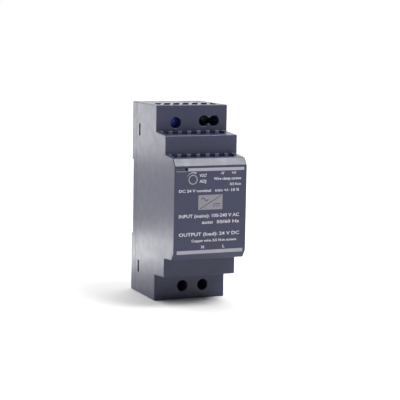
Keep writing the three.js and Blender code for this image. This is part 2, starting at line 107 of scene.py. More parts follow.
# --------------------------------------------------------------------------
# points and outlines
# --------------------------------------------------------------------------
def point(x, depth, z):
    return Vector((x * MM, (depth + FRONT) * MM, z * MM))


def placed(axis, first, second, along):
    """Point of an outline swept along an axis: x takes (depth, z), y (x, z), z (x, depth)."""
    if axis == "x":
        return point(along, first, second)
    if axis == "y":
        return point(first, along, second)
    return point(first, second, along)


def span(side, low, high):
    """The range low..high, or its mirror image where side is -1."""
    return (low, high) if side > 0 else (-high, -low)


def mirrored(points):
    """A half outline in (depth, z) closed by its mirror image in z."""
    return points + [(depth, -z) for depth, z in reversed(points)]


def circle(cx, cy, radius, count):
    return [(cx + radius * math.cos(TAU * i / count), cy + radius * math.sin(TAU * i / count))
            for i in range(count)]


def round_outline(points, radius, steps=4):
    """Rounds every corner of a closed outline."""
    out = []
    for i, corner in enumerate(points):
        before = Vector(points[i - 1])
        here = Vector(corner)
        after = Vector(points[(i + 1) % len(points)])
        to_before = (before - here).normalized()
        to_after = (after - here).normalized()
        angle = to_before.angle(to_after)
        if angle > math.pi - 0.02:
            out.append(tuple(corner))
            continue
        tangent = min(radius / math.tan(angle / 2),
                      (before - here).length * 0.49, (after - here).length * 0.49)
        arc = tangent * math.tan(angle / 2)
        centre = here + (to_before + to_after).normalized() * (arc / math.sin(angle / 2))
        start = here + to_before * tangent - centre
        end = here + to_after * tangent - centre
        first = math.atan2(start.y, start.x)
        sweep = (math.atan2(end.y, end.x) - first + math.pi) % TAU - math.pi
        for k in range(steps + 1):
            turn = first + sweep * k / steps
            out.append((centre.x + arc * math.cos(turn), centre.y + arc * math.sin(turn)))
    return out


def round_rect(cx, cy, half_x, half_y, radius, steps=4):
    return round_outline([(cx - half_x, cy - half_y), (cx + half_x, cy - half_y),
                          (cx + half_x, cy + half_y), (cx - half_x, cy + half_y)], radius, steps)


def grown(points, amount):
    """Outline with every side moved out by an amount."""
    count = len(points)
    area = sum(points[i - 1][0] * points[i][1] - points[i][0] * points[i - 1][1]
               for i in range(count))
    turn = 1 if area > 0 else -1
    out = []
    for i in range(count):
        before, here = Vector(points[i - 1]), Vector(points[i])
        after = Vector(points[(i + 1) % count])
        side_in, side_out = (here - before).normalized(), (after - here).normalized()
        normal_in = Vector((side_in.y, -side_in.x)) * turn
        normal_out = Vector((side_out.y, -side_out.x)) * turn
        middle = (normal_in + normal_out).normalized()
        out.append(tuple(here + middle * (amount / max(0.35, middle.dot(normal_in)))))
    return out


# --------------------------------------------------------------------------
# solids
# --------------------------------------------------------------------------
def loft(rings):
    """Rings of points (same count each) joined in order, with flat ends."""
    bm = bmesh.new()
    rows = [[bm.verts.new(p) for p in ring] for ring in rings]
    count = len(rings[0])
    for low, high in zip(rows, rows[1:]):
        for i in range(count):
            j = (i + 1) % count
            bm.faces.new((low[i], low[j], high[j], high[i]))
    bm.faces.new(rows[0][::-1])
    bm.faces.new(rows[-1])
    return bm


def prism(outline, start, end, axis="y"):
    return loft([[placed(axis, u, v, along) for u, v in outline] for along in (start, end)])


def box(x0, x1, depth0, depth1, z0, z1):
    return prism([(x0, z0), (x1, z0), (x1, z1), (x0, z1)], depth0, depth1)


def bevel(bm, width, segments=3, angle=25.0, only=None, clamp=False):
    """Rounds the edges sharper than an angle; only(edge) may narrow the choice."""
    bm.normal_update()
    edges = [e for e in bm.edges
             if e.is_manifold and e.calc_face_angle(0) > math.radians(angle)
             and (only is None or only(e))]
    bmesh.ops.bevel(bm, geom=edges, offset=width * MM, offset_type="OFFSET", segments=segments,
                    profile=0.5, affect="EDGES", clamp_overlap=clamp, miter_outer="SHARP")
    return bm


def bevel_shell(bm, width, segments):
    """Rounds all edges but those at the seam, then gives the seam edges a finer round."""
    def at_seam(edge):
        return all(abs(v.co.y / MM - FRONT - SEAM) < 0.01 for v in edge.verts)
    bevel(bm, width, segments, angle=20, only=lambda edge: not at_seam(edge))
    bevel(bm, 0.16, 2, angle=math.degrees(0.5), only=at_seam)
    return bm


def soft_box(x0, x1, depth0, depth1, z0, z1, width, segments=3):
    return bevel(box(x0, x1, depth0, depth1, z0, z1), width, segments)


def revolve(profile, cx, cz, count):
    """A profile of (radius, depth) turned about a y axis; it starts and ends at radius 0."""
    bm = bmesh.new()
    rows = []
    for radius, depth in profile:
        if radius < 1e-6:
            rows.append([bm.verts.new(point(cx, depth, cz))])
        else:
            rows.append([bm.verts.new(point(x, depth, z))
                         for x, z in circle(cx, cz, radius, count)])
    for low, high in zip(rows, rows[1:]):
        for i in range(count):
            j = (i + 1) % count
            if len(low) == 1:
                bm.faces.new((low[0], high[j], high[i]))
            elif len(high) == 1:
                bm.faces.new((low[i], low[j], high[0]))
            else:
                bm.faces.new((low[i], low[j], high[j], high[i]))
    return bm


def round_bar(points, radius, count):
    """A round bar along a list of points (metres)."""
    rings = []
    up = None
    for i, here in enumerate(points):
        before = points[max(i - 1, 0)]
        after = points[min(i + 1, len(points) - 1)]
        along = (after - before).normalized()
        if up is None:
            up = Vector((0, 0, 1)) if abs(along.z) < 0.8 else Vector((1, 0, 0))
        side = along.cross(up).normalized()
        up = side.cross(along).normalized()
        rings.append([here + (side * math.cos(TAU * k / count)
                              + up * math.sin(TAU * k / count)) * radius * MM
                      for k in range(count)])
    return loft(rings)


def flared(outline_at, surface, inward, mouth, depth, axis="y", steps=3):
    """A cutter whose mouth opens in a quarter round of radius mouth at the surface.
    outline_at(grow) is the outline grown by that much. The cutter runs from 1 mm outside the
    surface to depth inside it; inward is +1 or -1 along the axis."""
    stations = [(mouth, -1.0)]                   # (grow, distance inside the surface)
    for k in range(steps + 1):
        turn = math.pi / 2 * k / steps
        stations.append((mouth * (1 - math.sin(turn)), mouth * (1 - math.cos(turn))))
    stations.append((0.0, depth))
    return loft([[placed(axis, u, v, surface + inward * inside) for u, v in outline_at(grow)]
                 for grow, inside in stations])


def flared_circle(x, z, radius, count, **hole):
    return flared(lambda grow: circle(x, z, radius + grow, count), inward=1, **hole)


def flared_rect(cx, cy, half_x, half_y, corner, corner_steps, **hole):
    return flared(lambda grow: round_rect(cx, cy, half_x + grow, half_y + grow, corner,
                                          corner_steps), **hole)


# --------------------------------------------------------------------------
# objects
# --------------------------------------------------------------------------
def linked(data, name):
    ob = bpy.data.objects.new(name, data)
    scene.collection.objects.link(ob)
    return ob


def object_from(bm, name="part"):
    mesh = bpy.data.meshes.new(name)
    bm.to_mesh(mesh)
    bm.free()
    return linked(mesh, name)


def solid_from(bm, name="part"):
    """An object with its face normals made to agree."""
    bmesh.ops.recalc_face_normals(bm, faces=bm.faces)
    return object_from(bm, name)


def remove(ob):
    mesh = ob.data
    bpy.data.objects.remove(ob)
    bpy.data.meshes.remove(mesh)


def evaluated_mesh(ob):
    graph = bpy.context.evaluated_depsgraph_get()
    graph.update()
    return bpy.data.meshes.new_from_object(ob.evaluated_get(graph))


def apply_modifier(ob, kind, **settings):
    modifier = ob.modifiers.new(kind.lower(), kind)
    for key, value in settings.items():
        setattr(modifier, key, value)
    mesh = evaluated_mesh(ob)
    ob.modifiers.clear()
    old = ob.data
    ob.data = mesh
    bpy.data.meshes.remove(old)


def combine(target, solids, operation):
    for bm in solids:
        other = solid_from(bm)
        apply_modifier(target, "BOOLEAN", object=other, operation=operation, solver="MANIFOLD")
        remove(other)


def cut(target, *solids):
    combine(target, solids, "DIFFERENCE")


def join(target, *solids):
    combine(target, solids, "UNION")


def tidy(ob, sharp=32.0, dissolve=0.2):
    """Welds, removes extra edges in flat faces and sets clean shading normals. sharp and
    dissolve are angles in degrees; dissolve 0 keeps every edge."""
    bm = bmesh.new()
    bm.from_mesh(ob.data)
    bmesh.ops.remove_doubles(bm, verts=bm.verts, dist=2e-7)
    if dissolve:
        bmesh.ops.dissolve_limit(bm, angle_limit=math.radians(dissolve), verts=bm.verts,
                                 edges=bm.edges, delimit={"NORMAL"})
    bmesh.ops.triangulate(bm, faces=[f for f in bm.faces if len(f.verts) > 4])
    bm.to_mesh(ob.data)
    bm.free()
    mesh = ob.data
    mesh.polygons.foreach_set("use_smooth", [True] * len(mesh.polygons))
    mesh.set_sharp_from_angle(angle=math.radians(sharp))
    apply_modifier(ob, "WEIGHTED_NORMAL", keep_sharp=True, weight=100, mode="FACE_AREA")
    return ob


def merged(objects):
    """One object from several, as separate shells of one mesh."""
    bm = bmesh.new()
    for ob in objects:
        bm.from_mesh(ob.data)
        remove(ob)
    return object_from(bm)


def piece(ob, name, slot, *nodes, body="housing", finish=None):
    """Names a finished piece, parents it to its CAD body's empty and hides the replaced nodes.
    The material is the one listed under the slot's name unless finish names another."""
    ob.name = name
    ob.data.name = name
    ob.data.materials.clear()
    ob.data.materials.append(MATERIALS[finish or slot])
    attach(ob, body)
    if nodes:
        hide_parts(*nodes)
    return ob


# --------------------------------------------------------------------------
# material makers
# --------------------------------------------------------------------------
def linear(rgb):
    """Linear RGBA from 8-bit sRGB."""
    def channel(value):
        value /= 255
        return value / 12.92 if value <= 0.04045 else ((value + 0.055) / 1.055) ** 2.4
    return tuple(channel(value) for value in rgb) + (1.0,)


def scaled(color, factor):
    return tuple(min(1.0, c * factor) for c in color[:3]) + (1.0,)


class Shader:
    """A material whose textures all use object coordinates."""

    def __init__(self, name):
        self.material = bpy.data.materials.new(name)
        self.material.use_nodes = True
        self.tree = self.material.node_tree
        self.surface = self.tree.nodes["Principled BSDF"]
        self.coords = self.add("ShaderNodeTexCoord").outputs["Object"]

    def add(self, kind, **props):
        node = self.tree.nodes.new(kind)
        for key, value in props.items():
            setattr(node, key, value)
        return node

    def feed(self, socket, value):
        """Links an output, or sets a plain value."""
        if isinstance(value, bpy.types.NodeSocket):
            self.tree.links.new(value, socket)
        else:
            socket.default_value = value

    def set(self, name, value):
        self.feed(self.surface.inputs[name], value)

    def noise(self, scale, detail=3.0, rough=0.5, stretch=None):
        node = self.add("ShaderNodeTexNoise")
        node.inputs["Scale"].default_value = scale
        node.inputs["Detail"].default_value = detail
        node.inputs["Roughness"].default_value = rough
        source = self.coords
        if stretch:
            mapping = self.add("ShaderNodeMapping")
            mapping.inputs["Scale"].default_value = stretch
            self.feed(mapping.inputs["Vector"], source)
            source = mapping.outputs["Vector"]
        self.feed(node.inputs["Vector"], source)
        return node.outputs["Fac"]

    def remap(self, source, low, high, start=0.3, end=0.7):
        """Maps start..end to low..high."""
        node = self.add("ShaderNodeMapRange")
        node.inputs["From Min"].default_value = start
        node.inputs["From Max"].default_value = end
        node.inputs["To Min"].default_value = low
        node.inputs["To Max"].default_value = high
        self.feed(node.inputs["Value"], source)
        return node.outputs["Result"]

    def mix(self, factor, first, second):
        node = self.add("ShaderNodeMix", data_type="RGBA", blend_type="MIX")
        self.feed(node.inputs[0], factor)
        self.feed(node.inputs[6], first)
        self.feed(node.inputs[7], second)
        return node.outputs[2]

    def math(self, operation, first, second):
        node = self.add("ShaderNodeMath", operation=operation)
        self.feed(node.inputs[0], first)
        self.feed(node.inputs[1], second)
        return node.outputs[0]

    def bump(self, height, strength, distance=0.00005):
        node = self.add("ShaderNodeBump")
        node.inputs["Strength"].default_value = strength
        node.inputs["Distance"].default_value = distance
        self.feed(node.inputs["Height"], height)
        self.set("Normal", node.outputs["Normal"])

    def edges(self, radius):
        """0 on flat faces, rising to 1 on edges."""
        rounded = self.add("ShaderNodeBevel", samples=4)
        rounded.inputs["Radius"].default_value = radius
        geometry = self.add("ShaderNodeNewGeometry")
        dot = self.add("ShaderNodeVectorMath", operation="DOT_PRODUCT")
        self.feed(dot.inputs[0], rounded.outputs["Normal"])
        self.feed(dot.inputs[1], geometry.outputs["Normal"])
        return self.remap(dot.outputs["Value"], 1.0, 0.0, start=0.80, end=0.995)


def plastic(name, rgb, rough, grain, grain_scale=5200, tint=0.10, wear_and_highlight=0.0, wear_and_highlight_rgb=None,
            wear_and_highlight_radius=0.00022, spec=0.5, coat=0.0):
    """Moulded plastic: fine grain, slow colour and gloss drift, and lighter edges that are wear
    and, on the cover and base, a painted highlight.
    grain is the bump strength, tint the spread of the colour, wear_and_highlight_radius is in
    metres."""
    shader = Shader(name)
    color = linear(rgb)
    drift = shader.noise(60, detail=4.0, rough=0.55)
    light = scaled(color, 1 + tint)
    col = shader.mix(shader.remap(drift, 0.0, 1.0), scaled(color, 1 - tint), light)
    fine = shader.noise(grain_scale, detail=2.0, rough=0.6)
    specks = shader.noise(grain_scale * 0.33, detail=2.0, rough=0.5)
    col = shader.mix(shader.remap(fine, 0.0, 0.22, start=0.35, end=0.75), col, light)
    # lighter edges: wear, and where the edge colour is bright and wide a painted highlight of
    # light caught on rounded edges
    if wear_and_highlight:
        edges = shader.edges(wear_and_highlight_radius)
        patches = shader.remap(shader.noise(900, detail=4.0, rough=0.6), 0.15, 1.0,
                               start=0.35, end=0.65)
        wear_and_highlight_mask = shader.math("MULTIPLY", edges, patches)
        wear_and_highlight_color = linear(wear_and_highlight_rgb) if wear_and_highlight_rgb else scaled(color, 2.2)
        col = shader.mix(shader.math("MULTIPLY", wear_and_highlight_mask, wear_and_highlight), col, wear_and_highlight_color)
    shader.set("Base Color", col)
    gloss = shader.remap(shader.noise(220, detail=5.0, rough=0.6), rough - 0.05, rough + 0.05)
    shader.set("Roughness", shader.math("ADD", gloss, shader.remap(fine, -0.03, 0.03)))
    shader.set("Specular IOR Level", spec)
    if coat:
        shader.set("Coat Weight", coat)
        shader.set("Coat Roughness", 0.25)
    height = shader.math("ADD", shader.math("MULTIPLY", fine, 0.7),
                         shader.math("MULTIPLY", specks, 0.5))
    shader.bump(height, strength=grain)
    return shader.material


def metal(name, rgb, rough, brushed=(1, 1, 1), scratch=0.25, tint=0.08):
    """Worked metal: grain stretched by brushed, stain drift and fine scratches."""
    shader = Shader(name)
    color = linear(rgb)
    drift = shader.noise(180, detail=4.0, rough=0.6)
    col = shader.mix(shader.remap(drift, 0.0, 1.0), scaled(color, 1 - tint * 2), color)
    grain = shader.noise(2600, detail=3.0, rough=0.6, stretch=brushed)
    col = shader.mix(shader.remap(grain, 0.0, 0.25), col, scaled(color, 1.15))
    shader.set("Base Color", col)
    shader.set("Metallic", 1.0)
    shader.set("Roughness", shader.math("ADD", shader.remap(grain, rough - 0.08, rough + 0.1),
                                        shader.remap(drift, -0.04, 0.04)))
    shader.bump(grain, strength=scratch, distance=0.00003)
    return shader.material


def clear(name, rgb, rough, see_through=0.75):
    """Clear moulded plastic with faint flow lines."""
    shader = Shader(name)
    color = linear(rgb)
    flow = shader.noise(300, detail=3.0, rough=0.5, stretch=(1, 4, 1))
    shader.set("Base Color",
               shader.mix(shader.remap(flow, 0.0, 1.0), scaled(color, 0.85), color))
    shader.set("Roughness", shader.remap(flow, rough, rough + 0.12))
    shader.set("Transmission Weight", see_through)
    shader.set("IOR", 1.49)
    shader.bump(shader.noise(2200, detail=2.0, rough=0.5), strength=0.12)
    return shader.material


def ink(name, rgb):
    """Printed ink: slightly uneven cover with tiny pinholes."""
    shader = Shader(name)
    color = linear(rgb)
    cover = shader.noise(3800, detail=3.0, rough=0.6)
    shader.set("Base Color", shader.mix(shader.remap(cover, 0.0, 1.0, start=0.25, end=0.5),
                                        scaled(color, 0.80), color))
    shader.set("Roughness", shader.remap(cover, 0.65, 0.45))
    shader.bump(cover, strength=0.2, distance=0.00002)
    return shader.material


# Keyed by slot name, except the inks, which share the cover's slot
MATERIALS = {
    # cover and base: the bright, wide edge lightening is a painted highlight on lips, ribs and
    # rims, on top of wear
    "cover_plastic": plastic("v_cover_plastic", (45, 49, 76), rough=0.36, grain=0.30, wear_and_highlight=0.7,
                             wear_and_highlight_rgb=(140, 142, 164), wear_and_highlight_radius=0.00045),
    "base_plastic": plastic("v_base_plastic", (45, 49, 75), rough=0.38, grain=0.30, wear_and_highlight=0.5,
                            wear_and_highlight_rgb=(118, 120, 142)),
    "clip_plastic": plastic("v_clip_plastic", (38, 39, 44), rough=0.40, grain=0.35, wear_and_highlight=0.4),
    # this light ink also draws the painted highlight bar under the indicator window
    "print": ink("v_print_and_lip_highlight_light_grey", (160, 156, 168)),
    "text": ink("v_print_text_grey", (200, 196, 208)),
    "plate": ink("v_print_mid_grey", (134, 130, 138)),
    "print_dark": ink("v_print_dark", (70, 72, 92)),
    "light_pipe": clear("v_light_pipe_plastic", (74, 77, 88), rough=0.18, see_through=0.3),
    "led_body": clear("v_led_resin", (238, 240, 220), rough=0.2),
    "trimmer_blue": plastic("v_trimmer_case", (20, 58, 190), rough=0.30, grain=0.2, wear_and_highlight=0.3),
    "trimmer_rotor_plastic": plastic("v_trimmer_rotor", (18, 50, 170), rough=0.35, grain=0.3,
                                     wear_and_highlight=0.3),
    # near black: dark terminal plastic, darkened further as painted shade so the deep screw holes
    # read black
    "terminal_plastic": plastic("v_terminal_plastic_with_hole_shade", (20, 21, 24), rough=0.5, grain=0.3,
                                wear_and_highlight=0.3, spec=0.3),
    "screw_steel": metal("v_screw_steel", (84, 85, 89), rough=0.42),
    "cage_brass": metal("v_cage_nickel_brass", (200, 194, 168), rough=0.30, brushed=(1, 6, 1)),
    "contact_brass": metal("v_contact_tinned_brass", (214, 202, 150), rough=0.30,
                           brushed=(6, 1, 1)),
    "spring_steel": metal("v_spring_wire", (176, 180, 186), rough=0.25),
    "circuit_board": plastic("v_board_solder_mask", (22, 74, 44), rough=0.34, grain=0.25,
                             grain_scale=2400, tint=0.16, coat=0.3),
    "black_plastic": plastic("v_black_encapsulation", (28, 28, 31), rough=0.52, grain=0.4,
                             wear_and_highlight=0.25),
    "disc_coating": plastic("v_disc_epoxy", (32, 82, 160), rough=0.28, grain=0.2,
                            grain_scale=900, tint=0.15, coat=0.4),
    "thermistor_coating": plastic("v_thermistor_epoxy", (34, 44, 40), rough=0.34, grain=0.3,
                                  grain_scale=900, tint=0.15, coat=0.3),
    "film_yellow": plastic("v_film_box_yellow", (206, 166, 48), rough=0.34, grain=0.2,
                           tint=0.08, wear_and_highlight=0.2),
    "film_red": plastic("v_film_box_red", (146, 52, 42), rough=0.34, grain=0.2, tint=0.1,
                        wear_and_highlight=0.2),
    "core_coating": plastic("v_core_coating", (42, 86, 56), rough=0.46, grain=0.5,
                            grain_scale=1500, tint=0.12),
    "copper_wire": metal("v_enamelled_copper", (184, 96, 44), rough=0.24, scratch=0.15,
                         tint=0.10),
    "capacitor_sleeve": plastic("v_can_sleeve", (28, 34, 52), rough=0.24, grain=0.12, tint=0.1,
                                coat=0.5),
    "output_capacitor_sleeve": plastic("v_output_can_sleeve", (26, 52, 38), rough=0.24,
                                       grain=0.12, tint=0.1, coat=0.5),
    "heatsink_aluminium": metal("v_heatsink_aluminium", (206, 209, 213), rough=0.34,
                                brushed=(1, 1, 7), scratch=0.3, tint=0.05),
    "ferrite": plastic("v_ferrite", (38, 38, 41), rough=0.62, grain=0.7, grain_scale=1800,
                       tint=0.14),
    "transformer_tape": plastic("v_polyester_tape", (214, 176, 44), rough=0.22, grain=0.1,
                                grain_scale=1200, tint=0.07, coat=0.5),
    "barrier_film": plastic("v_barrier_film", (212, 209, 196), rough=0.30, grain=0.1,
                            grain_scale=700, tint=0.05, coat=0.2),
}


# --------------------------------------------------------------------------
# front cover
# --------------------------------------------------------------------------
def slanted_slot(x, centre, depth0, depth1):
    """Outline in (x, depth) of a slot that leans sideways as it runs back and passes x at the
    depth centre, trimmed at the edge of the vent field."""
    def corner(depth, side):
        return (x + (depth - centre) * VENT_SLANT + side * VENT_HALF, depth)
    points = [corner(depth0, -1), corner(depth0, 1), corner(depth1, 1), corner(depth1, -1)]
    for side in (1, -1):
        kept = []
        for i, here in enumerate(points):
            after = points[(i + 1) % len(points)]
            room, room_after = VENT_EDGE - side * here[0], VENT_EDGE - side * after[0]
            if room >= 0:
                kept.append(here)
            if room * room_after < 0:
                kept.append((here[0] + (after[0] - here[0]) * room / (room - room_after),
                             here[1] + (after[1] - here[1]) * room / (room - room_after)))
        points = kept
    return [p for i, p in enumerate(points)
            if (Vector(p) - Vector(points[i - 1])).length > 0.3]


def vent_cutters(x, side):
    """Slots through the end face and the two ledges. The ledges lean, so theirs are straight."""
    end = slanted_slot(x, 31.1, 24.6, 37.6)
    rear = slanted_slot(x, 20.5, 15.0, STEP1)
    front = slanted_slot(x, 9.6, 4.8, STEP2)
    below, above = 2.7, 1.2                      # reach of a straight cutter past its ledge
    return [
        flared(lambda grow: round_outline(grown(end, grow), 0.3 + grow, 3),
               surface=side * HALF_H, inward=-side, mouth=0.16, depth=2.5, axis="z"),
        prism(round_outline(rear, 0.25, 3), side * (LEDGE1_FRONT - below),
              side * (LEDGE1_BACK + above), "z"),
        prism(round_outline(front, 0.25, 3), side * (LEDGE2_FRONT - below),
              side * (LEDGE2_BACK + above), "z"),
    ]


def build_cover():
    outer = mirrored([
        (SEAM, HALF_H), (STEP1, HALF_H), (STEP1, LEDGE1_BACK), (STEP2, LEDGE1_FRONT),
        (STEP2, LEDGE2_BACK), (CHAMFER_DEPTH, LEDGE2_FRONT),
        (0, LEDGE2_FRONT - CHAMFER_HEIGHT)])
    inner = mirrored([
        (SEAM + 1, HALF_H - WALL), (STEP1 + WALL, HALF_H - WALL),
        (STEP1 + WALL, LEDGE1_BACK - WALL), (STEP2 + WALL, LEDGE1_FRONT - WALL),
        (STEP2 + WALL, LEDGE2_BACK - WALL), (CHAMFER_DEPTH + 0.7, LEDGE2_FRONT - WALL),
        (WALL, LEDGE2_FRONT - CHAMFER_HEIGHT - 0.4)])
    ob = solid_from(bevel_shell(prism(outer, -HALF_W, HALF_W, "x"), 0.42, 5))
    cut(ob, prism(inner, -HALF_W + WALL, HALF_W - WALL, "x"))
    # guide tubes behind the holes
    tube_start = STEP1 + 0.8
    join(ob, prism(round_rect(OUT_MID, OUT_Z, OUT_HALF + 3.4, 3.4, 3.3, 8), tube_start, TUBE_END))
    for x in IN_X:
        join(ob, prism(circle(x, IN_Z, IN_RADIUS + 1.0, 40), tube_start, TUBE_END))
    join(ob, prism(circle(TRIM_X, TRIM_Z, TRIM_RADIUS + 0.6, 40), tube_start, TRIM_DEPTH - 0.5))

    screw_hole = dict(surface=STEP1, mouth=0.24, depth=12, steps=4)
    holes = [flared_circle(x, OUT_Z, OUT_RADIUS, 56, **screw_hole) for x in OUT_X]
    # the slot that joins the two output holes
    holes.append(flared(lambda grow: round_rect(OUT_MID, OUT_Z, OUT_HALF, 1.3 + grow, 0.05, 1),
                        surface=STEP1, inward=1, mouth=0.24, depth=11.7, steps=4))
    holes += [flared_circle(x, IN_Z, IN_RADIUS, 56, **screw_hole) for x in IN_X]
    holes.append(flared_circle(TRIM_X, TRIM_Z, TRIM_RADIUS, 56, surface=STEP1, mouth=0.22,
                               depth=4.5, steps=4))
    for end in (1, -1):
        for i in range(VENT_COUNT):
            holes += vent_cutters((i - 3) * VENT_PITCH, end)
        # wire holes in the end face
        for x in (OUT_X if end > 0 else IN_X):
            holes.append(flared_rect(x, 43.65, 1.9, 1.65, 0.3, 3, surface=end * HALF_H,
                                     inward=-end, mouth=0.16, depth=2.5, axis="z"))
        # a small upright slot in each side wall near the seam
        for side in (1, -1):
            holes.append(flared_rect(43.95, end * 32.35, 0.85, 2.85, 0.12, 2,
                                     surface=side * HALF_W, inward=-side, mouth=0.10,
                                     depth=2.5, axis="x"))
    # indicator window
    holes.append(prism(round_rect(-14.0, 18.15, 2.7, 0.65, 0.15, 3), -1, 0.6))
    holes.append(box(-15.75, -11.4, -1, 2.5, 17.55, 18.75))
    cut(ob, *holes)
    return tidy(ob)


piece(build_cover(), "front_cover_shell", "cover_plastic", "front_cover")


# --------------------------------------------------------------------------
# rear base
# --------------------------------------------------------------------------
def notch_outline():
    """Rail notch in (depth, z), its mouth rounded where it meets the rim."""
    radius = 0.25
    arc = []
    for k in range(1, 4):
        turn = math.pi / 2 * k / 3
        arc.append((RIM - radius + radius * math.sin(turn),
                    NOTCH + radius - radius * math.cos(turn)))
    upper = [(SEAT, NOTCH), (RIM - radius, NOTCH)] + arc + [(RIM + 1, NOTCH + radius)]
    lower = [(depth, -z) for depth, z in reversed(upper)]
    return lower[-1:] + upper + lower[:-1]


def join_side_features(ob, end, side):
    """Snap tongue with its bump, and two round posts, at one side of one end."""
    z0, z1 = span(end, 29.65, 35.05)
    bump = [(43.25, 15.0), (44.65, 15.0), (44.65, 16.3), (44.3, 16.3), (43.25, 15.6)]  # depth, x
    join(ob,
         box(*span(side, 14.4, 15.75), 42.6, RIM - 1, z0, z1),
         box(*span(side, 14.4, 17.0), 48.3, RIM - 1, z0, z1),
         prism([(side * x, depth) for depth, x in bump], z0, z1, "z"),
         prism(circle(side * 13.2, end * 40.2, 1.6, 24), 48.3, RIM - 1),
         prism(circle(side * 13.2, end * 21.6, 1.6, 24), 48.3, RIM - 1))


def build_base():
    ob = solid_from(bevel_shell(box(-HALF_W, HALF_W, SEAM, RIM, -HALF_H, HALF_H), 0.3, 4))
    inner = HALF_W - WALL
    cut(ob,
        box(-inner, inner, SEAM - 1, RIM - WALL, NOTCH + WALL, HALF_H - WALL),
        box(-inner, inner, SEAM - 1, SEAT - WALL, -NOTCH - WALL, NOTCH + WALL),
        box(-inner, inner, SEAM - 1, RIM - WALL, -HALF_H + WALL, -NOTCH - WALL))
    # rail notch and two fine grooves across its floor
    cut(ob, prism(notch_outline(), -HALF_W - 1, HALF_W + 1, "x"))
    for side in (1, -1):
        cut(ob, box(-HALF_W - 1, HALF_W + 1, SEAT - 0.3, SEAT + 0.5, *span(side, 15.05, 15.45)))
    # shallow pockets in the back: two above the notch, two narrow ones below it
    for x0, x1, z, half_z, corner in (
            (-14.2, -0.9, 33.6, 7.6, 1.0), (0.9, 14.2, 33.6, 7.6, 1.0),
            (-14.6, -10.4, -31.4, 9.8, 0.8), (10.4, 14.6, -31.4, 9.8, 0.8)):
        cut(ob, flared_rect((x0 + x1) / 2, z, (x1 - x0) / 2, half_z, corner, 5,
                            surface=RIM, inward=-1, mouth=0.2, depth=0.6))
    # fixed hook at the top of the notch, in (depth, z)
    hook = [(HOOK, 16.4), (HOOK + 0.5, 15.9), (DEEP, 15.9), (DEEP, 21.4), (RIM, 22.4),
            (HOOK, 22.4)]
    join(ob, bevel(prism(hook, -13, 13, "x"), 0.14, 3, angle=20))
    # clip guide below the notch: block, slide channel, open back, spring bed and its stop
    join(ob, box(-8.6, 8.6, 49.4, RIM - 0.3, -HALF_H + 0.5, -NOTCH))
    cut(ob,
        box(-7.05, 7.05, 51.15, 52.95, -HALF_H - 1, -NOTCH),
        prism(round_rect(0, -31, 5.2, 20, 0.1, 2), 51.15, RIM + 1),
        box(-1.7, 1.7, 50.6, 52.0, -38.9, -23.0))
    join(ob, soft_box(-1.5, 1.5, 50.0, 53.0, -38.2, -36.8, 0.12, 2))
    for end in (1, -1):
        for side in (1, -1):
            join_side_features(ob, end, side)
    # ejector pin marks
    for x, z in ((-15.8, 24.0), (15.8, 24.0), (-15.8, 42.6), (15.8, 42.6), (-15.9, -20.2),
                 (15.9, -20.2)):
        cut(ob, prism(circle(x, z, 0.8, 24), RIM - 0.06, RIM + 0.5))
    return tidy(ob)


piece(build_base(), "rear_base_shell", "base_plastic", "rear_base")


# --------------------------------------------------------------------------
# rail clip and spring
# --------------------------------------------------------------------------
CLIP_BACK = 53.4
SPRING_BOTTOM, SPRING_TOP = -36.5, -24.3     # wire centre at the two ends
SPRING_DEPTH, SPRING_RADIUS, SPRING_WIRE = 52.05, 1.0, 0.2
SPRING_TURNS, SPRING_CLOSED = 8, 0.9         # all turns, and those closed flat at each end


def build_clip():
    ob = solid_from(soft_box(-6.75, 6.75, 51.4, 52.7, -44.8, -18.1, 0.2))
    centre = [(51.45, -44.75), (CLIP_BACK, -44.75), (CLIP_BACK, -24.2), (DEEP, -22.4),
              (DEEP, -17.7), (HOOK, -16.1), (HOOK, -18.15), (51.45, -18.15)]   # depth, z
    join(ob, bevel(prism(centre, -4.9, 4.9, "x"), 0.16, 3, angle=20))
    # spring window, and the screwdriver slot near the bottom
    cut(ob, prism(round_rect(0, -31.3, 1.85, 7.3, 0.3, 4), 50, 56),
        flared_rect(0, -42.4, 3.3, 0.9, 0.25, 4, surface=CLIP_BACK, inward=-1, mouth=0.2,
                    depth=3))
    # grip grooves above the screwdriver slot
    for z in (-40.6, -39.9):
        cut(ob, prism(round_rect(0, z, 3.6, 0.16, 0.1, 2), 53.15, 54))
    return tidy(ob)


def build_spring():
    steps = SPRING_TURNS * 28
    closed = 2 * SPRING_WIRE * 1.02 * SPRING_CLOSED      # height of the closed turns at one end
    low, high = SPRING_BOTTOM + closed, SPRING_TOP - closed
    points = []
    for i in range(steps + 1):
        turn = i / steps * SPRING_TURNS
        if turn < SPRING_CLOSED:
            z = SPRING_BOTTOM + turn / SPRING_CLOSED * closed
        elif turn > SPRING_TURNS - SPRING_CLOSED:
            z = SPRING_TOP - (SPRING_TURNS - turn) / SPRING_CLOSED * closed
        else:
            z = low + (high - low) * (turn - SPRING_CLOSED) / (SPRING_TURNS - 2 * SPRING_CLOSED)
        angle = turn * TAU
        points.append(point(SPRING_RADIUS * math.cos(angle),
                            SPRING_DEPTH + SPRING_RADIUS * math.sin(angle), z))
    return tidy(solid_from(round_bar(points, SPRING_WIRE, 12)), dissolve=0)


piece(build_clip(), "rail_clip_slider", "clip_plastic", "din_clip", body="rail_clip")
spring = piece(build_spring(), "clip_spring_coil", "spring_steel", "clip_spring")
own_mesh(spring)


# --------------------------------------------------------------------------
# indicator and trimmer
# --------------------------------------------------------------------------
def build_light_guide():
    ob = solid_from(soft_box(-16.6, -12.3, 0.2, 0.5, 17.6, 18.7, 0.08))
    join(ob, box(-15.6, -12.5, 0.35, 7.0, 17.65, 18.65))
    return tidy(ob)


